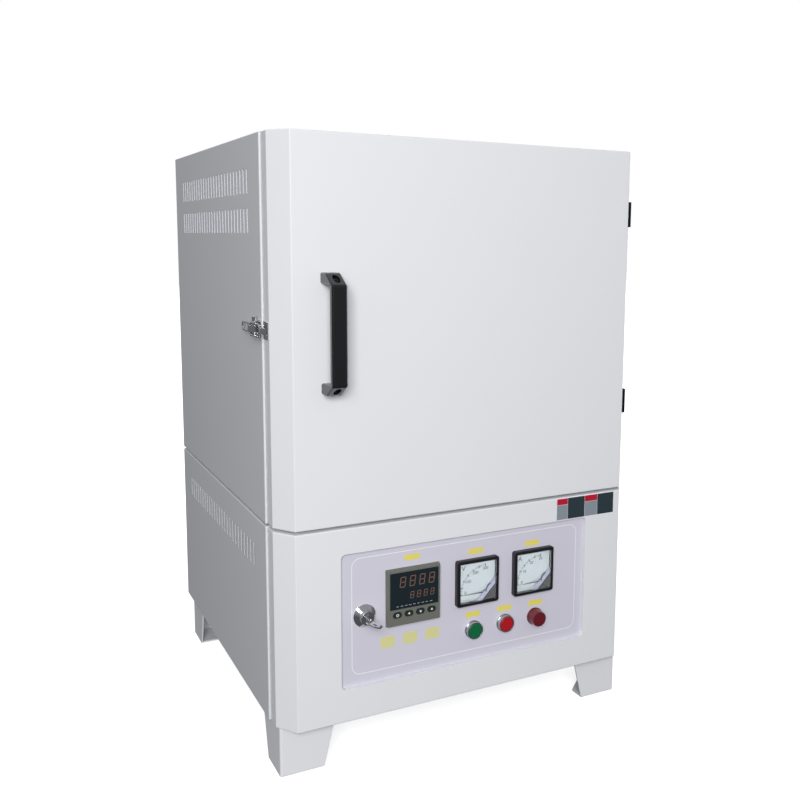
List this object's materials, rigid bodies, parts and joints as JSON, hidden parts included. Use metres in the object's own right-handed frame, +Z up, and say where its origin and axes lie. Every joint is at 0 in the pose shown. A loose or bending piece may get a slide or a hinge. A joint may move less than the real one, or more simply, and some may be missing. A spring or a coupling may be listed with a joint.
{
  "type": "laboratory box furnace",
  "caption": "Front-loading box furnace on legs with side-hung latched door, slotted casing and a lower cabinet with controller, meters, buttons and key switch",
  "frame": {"origin": "on the floor, under the middle of the whole outline", "axes": "+X to the right seen from the front, +Y to the back, +Z up"},
  "size_m": [0.693, 0.752, 1.008],
  "materials": {
    "front_paint": "fine textured powder coat",
    "casing_paint": "fine textured powder coat",
    "panel_paint": "satin",
    "zinc_sheet": "galvanised",
    "stainless": "brushed",
    "chrome": "polished",
    "dark_steel": "blackened",
    "black_casting": "satin black",
    "fibre": "matt vacuum-formed fibre",
    "hearth": "matt fired",
    "rope": "woven rope",
    "wire": "oxidised",
    "black_plastic": "fine grain",
    "controller_plastic": "fine grain",
    "window_tint": "dark tinted",
    "key_rubber": "matt",
    "clear_cover": "clear",
    "needle": "matt",
    "green": "gloss",
    "red": "gloss",
    "buzzer_red": "gloss",
    "bezel": "satin",
    "sink": "extruded",
    "switchgear": "moulded"
  },
  "bodies": {
    "cabinet": {"upper_casing": "casing_paint", "lower_casing": "casing_paint", "upper_back_cover": "casing_paint", "lower_back_cover": "casing_paint", "lower_front_panel": "front_paint", "leg_front_left": "front_paint", "leg_front_right": "front_paint", "leg_rear_left": "front_paint", "leg_rear_right": "front_paint", "control_panel": "panel_paint", "deck_plate": "zinc_sheet", "base_plate": "zinc_sheet", "inner_shell": "zinc_sheet", "mouth_plate": "stainless", "latch_base": "chrome", "lock_barrel": "chrome", "hinge_cabinet_leaves": "dark_steel", "wall_left_board": "fibre", "wall_right_board": "fibre", "ceiling_board": "fibre", "floor_board": "fibre", "back_board": "fibre", "hearth_plate": "hearth", "heating_element_left": "wire", "heating_element_right": "wire", "thermocouple": "stainless", "controller_housing": "controller_plastic", "controller_window": "window_tint", "voltmeter_case": "black_plastic", "ammeter_case": "black_plastic", "voltmeter_cover": "clear_cover", "ammeter_cover": "clear_cover", "green_button_body": "bezel", "red_button_body": "bezel", "buzzer": "buzzer_red", "power_regulator": "sink", "contactor": "switchgear", "terminal_block": "switchgear", "cable_gland": "black_plastic"},
    "door": {"door_skin": "front_paint", "door_back_plate": "zinc_sheet", "door_insulation": "fibre", "door_seal": "rope", "door_handle": "black_casting", "handle_screws": "dark_steel", "latch_keeper": "chrome", "hinge_door_leaves": "dark_steel"},
    "lever": {"latch_lever": "chrome"},
    "bail": {"latch_bail": "chrome"},
    "green_cap": {"green_button_cap": "green"},
    "red_cap": {"red_button_cap": "red"},
    "key_set": {"key_set": "key_rubber"},
    "key_left": {"key_left": "key_rubber"},
    "key_down": {"key_down": "key_rubber"},
    "key_up": {"key_up": "key_rubber"},
    "lock_key": {"lock_key": "chrome"},
    "voltmeter_needle": {"voltmeter_needle": "needle"},
    "ammeter_needle": {"ammeter_needle": "needle"}
  },
  "joints": [
    {"name": "door_hinge", "type": "hinge", "parent": "cabinet", "child": "door", "pos_m": [0.34, -0.263, 0.708], "axis": [0, 0, 1], "range_deg": [0, 120]},
    {"name": "lever_pivot", "type": "hinge", "parent": "cabinet", "child": "lever", "pos_m": [-0.3385, -0.243, 0.713], "axis": [0, 0, 1], "range_deg": [0, 120]},
    {"name": "bail_pivot", "type": "hinge", "parent": "lever", "child": "bail", "pos_m": [-0.3426, -0.233, 0.713], "axis": [0, 0, 1], "range_deg": [-120, 0]},
    {"name": "green_press", "type": "slide", "parent": "cabinet", "child": "green_cap", "axis": [0, 1, 0], "range_m": [0, 0.003], "stiffness_N_per_m": 800, "springref_m": -0.002},
    {"name": "red_press", "type": "slide", "parent": "cabinet", "child": "red_cap", "axis": [0, 1, 0], "range_m": [0, 0.003], "stiffness_N_per_m": 800, "springref_m": -0.002},
    {"name": "key_set_press", "type": "slide", "parent": "cabinet", "child": "key_set", "axis": [0, 1, 0], "range_m": [0, 0.001], "stiffness_N_per_m": 1500, "springref_m": -0.0006},
    {"name": "key_left_press", "type": "slide", "parent": "cabinet", "child": "key_left", "axis": [0, 1, 0], "range_m": [0, 0.001], "stiffness_N_per_m": 1500, "springref_m": -0.0006},
    {"name": "key_down_press", "type": "slide", "parent": "cabinet", "child": "key_down", "axis": [0, 1, 0], "range_m": [0, 0.001], "stiffness_N_per_m": 1500, "springref_m": -0.0006},
    {"name": "key_up_press", "type": "slide", "parent": "cabinet", "child": "key_up", "axis": [0, 1, 0], "range_m": [0, 0.001], "stiffness_N_per_m": 1500, "springref_m": -0.0006},
    {"name": "key_turn", "type": "hinge", "parent": "cabinet", "child": "lock_key", "pos_m": [-0.191, -0.3197, 0.253], "axis": [0, 1, 0], "range_deg": [0, 90]},
    {"name": "voltmeter_deflection", "type": "hinge", "parent": "cabinet", "child": "voltmeter_needle", "pos_m": [0.028, -0.3257, 0.257], "axis": [0, 1, 0], "range_deg": [0, 90], "stiffness_Nm_per_rad": 0.0002, "springref_deg": -22.92},
    {"name": "ammeter_deflection", "type": "hinge", "parent": "cabinet", "child": "ammeter_needle", "pos_m": [0.139, -0.3257, 0.257], "axis": [0, 1, 0], "range_deg": [0, 90], "stiffness_Nm_per_rad": 0.0002, "springref_deg": -22.92}
  ],
  "couplings": [
    {"joint": "bail_pivot", "follows": "lever_pivot", "ratio": -1}
  ]
}
